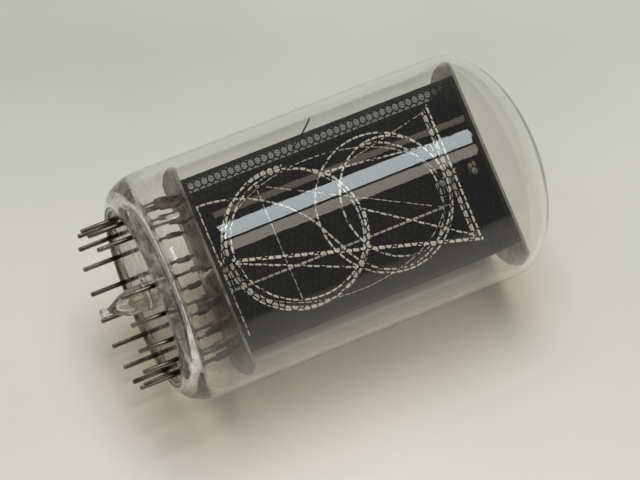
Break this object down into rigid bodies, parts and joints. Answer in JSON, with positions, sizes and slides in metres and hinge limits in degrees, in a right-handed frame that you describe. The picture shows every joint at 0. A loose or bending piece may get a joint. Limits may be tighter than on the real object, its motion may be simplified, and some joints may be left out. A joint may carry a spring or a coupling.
{
  "type": "numeral indicator tube",
  "caption": "Side-view cold-cathode numeral indicator tube: domed glass bulb on a pinned glass base, with a stack of wire-like numerals in a black mesh-fronted cage.",
  "frame": {"origin": "on the tube's axis, in the seating plane at the lowest face of the glass base", "axes": "+Z along the tube towards the dome, -Y towards the reader, +X to the reader's right"},
  "size_m": [0.05, 0.05, 0.0986],
  "materials": {
    "bulb_glass": "clear blown glass",
    "stem_glass": "pressed glass",
    "pin_metal": "drawn wire, dulled",
    "numeral_steel": "etched thin sheet",
    "blackened_nickel": "matt black coating",
    "blackened_mesh": "etched mesh, blackened",
    "mica": "split mica with a dusty coating",
    "dark_steel": "oxidised wire",
    "nickel": "nickel",
    "dark_ceramic": "unglazed, darkened in the firing",
    "brown_ceramic": "fired coating"
  },
  "bodies": {
    "root": {"bulb": "bulb_glass", "stem_disc": "stem_glass", "exhaust_tip": "bulb_glass", "pin_01": "pin_metal", "pin_02": "pin_metal", "pin_03": "pin_metal", "pin_04": "pin_metal", "pin_05": "pin_metal", "pin_06": "pin_metal", "pin_07": "pin_metal", "pin_08": "pin_metal", "pin_09": "pin_metal", "pin_10": "pin_metal", "pin_11": "pin_metal", "pin_12": "pin_metal", "pin_13": "pin_metal", "pin_14": "pin_metal", "pin_15": "pin_metal", "pin_16": "pin_metal", "pin_17": "pin_metal", "numeral_0": "numeral_steel", "numeral_1": "numeral_steel", "numeral_2": "numeral_steel", "numeral_3": "numeral_steel", "numeral_4": "numeral_steel", "numeral_5": "numeral_steel", "numeral_6": "numeral_steel", "numeral_7": "numeral_steel", "numeral_8": "numeral_steel", "numeral_9": "numeral_steel", "shield_tray": "blackened_nickel", "front_frame": "blackened_nickel", "front_mesh": "blackened_mesh", "left_mesh": "blackened_mesh", "right_mesh": "blackened_mesh", "top_mica": "mica", "bottom_mica": "mica", "top_rod": "dark_steel", "bottom_rod": "dark_steel", "top_spacers": "dark_ceramic", "bottom_spacers": "dark_ceramic", "top_rod_cap": "dark_steel", "bottom_rod_cap": "dark_steel", "top_eyelet": "nickel", "bottom_eyelet": "nickel", "inner_leads": "nickel", "lead_sleeves": "brown_ceramic", "mercury_capsule": "nickel", "contact_whisker": "dark_steel"}
  },
  "joints": []
}
